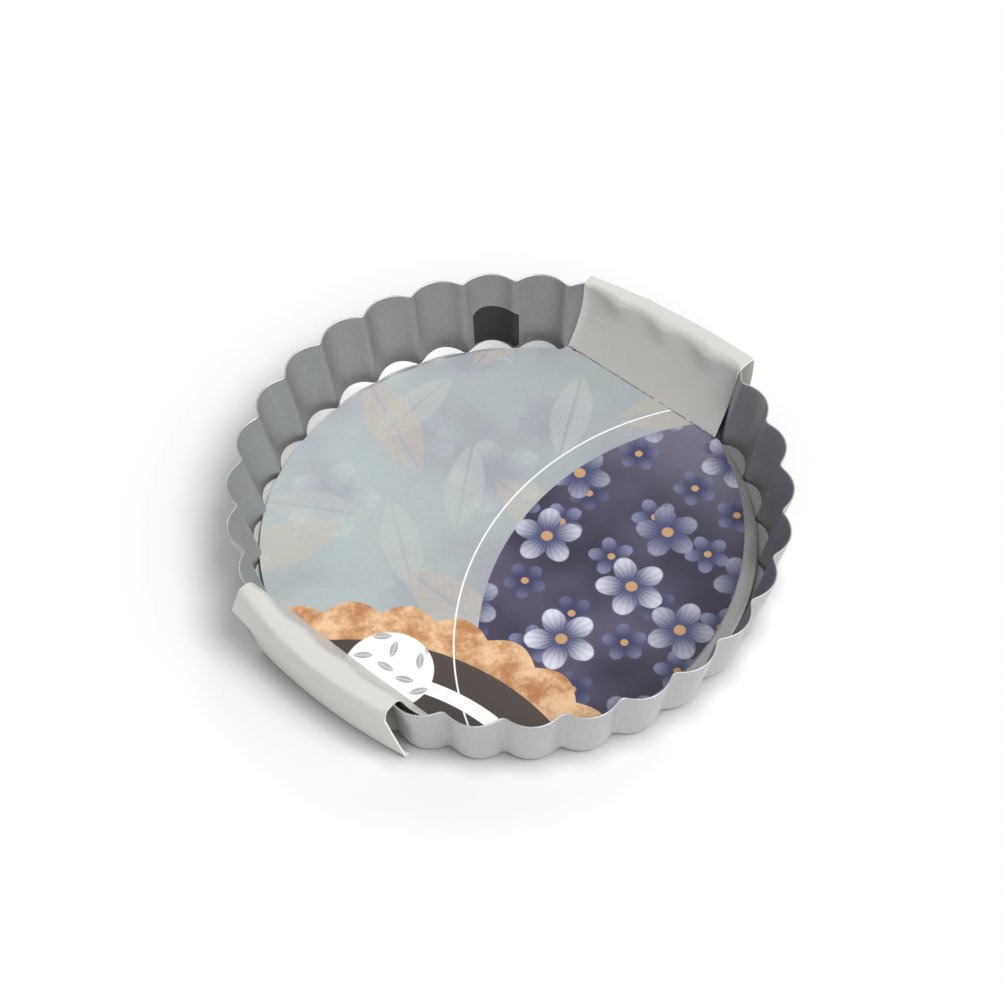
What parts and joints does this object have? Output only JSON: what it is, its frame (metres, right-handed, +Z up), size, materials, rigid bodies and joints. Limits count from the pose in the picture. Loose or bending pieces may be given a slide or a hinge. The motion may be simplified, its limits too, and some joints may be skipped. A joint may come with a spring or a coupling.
{
  "type": "mini tart pan",
  "caption": "Round fluted mini tart pan with a loose base, held in a printed card sleeve whose two straps cross the rim.",
  "frame": {"origin": "centre of the ring on the surface that it stands on", "axes": "+Z up, +Y towards the back strap, so the two straps cross the rim at +Y and -Y"},
  "size_m": [0.1198, 0.1218, 0.02],
  "materials": {
    "coated_steel": "satin grey non-stick coating with a fine metallic sparkle",
    "coated_steel_base": "satin grey non-stick coating with a fine metallic sparkle",
    "printed_card": "coated card with a satin print",
    "grey_card": "coated card, flat warm grey, pale where it is creased",
    "black_film": "matte black film"
  },
  "bodies": {
    "ring": {"fluted_ring": "coated_steel", "flute_label": "black_film"},
    "base": {"removable_base": "coated_steel_base", "card_disc": "printed_card", "back_riser": "grey_card", "front_riser": "grey_card"},
    "back_strip": {"back_rim_strip": "grey_card"},
    "front_strip": {"front_rim_strip": "grey_card"},
    "back_flap": {"back_apron": "grey_card"},
    "front_flap": {"front_apron": "grey_card"}
  },
  "joints": [
    {"name": "base_lift", "type": "slide", "parent": "ring", "child": "base", "axis": [0, 0, 1], "range_m": [0, 0.035]},
    {"name": "back_strip_spread", "type": "hinge", "parent": "base", "child": "back_strip", "pos_m": [-0.002, 0.05203, 0.01978], "axis": [1, 0, 0], "range_deg": [0, 60.2]},
    {"name": "front_strip_spread", "type": "hinge", "parent": "base", "child": "front_strip", "pos_m": [-0.002, -0.05203, 0.01978], "axis": [-1, 0, 0], "range_deg": [0, 60.2]},
    {"name": "back_flap_open", "type": "hinge", "parent": "back_strip", "child": "back_flap", "pos_m": [-0.002, 0.06075, 0.01978], "axis": [1, 0, 0], "range_deg": [0, 100]},
    {"name": "front_flap_open", "type": "hinge", "parent": "front_strip", "child": "front_flap", "pos_m": [-0.002, -0.06075, 0.01978], "axis": [-1, 0, 0], "range_deg": [0, 100]}
  ],
  "couplings": [
    {"joint": "back_strip_spread", "follows": "base_lift", "rad_per_m": 30},
    {"joint": "front_strip_spread", "follows": "base_lift", "rad_per_m": 30}
  ]
}
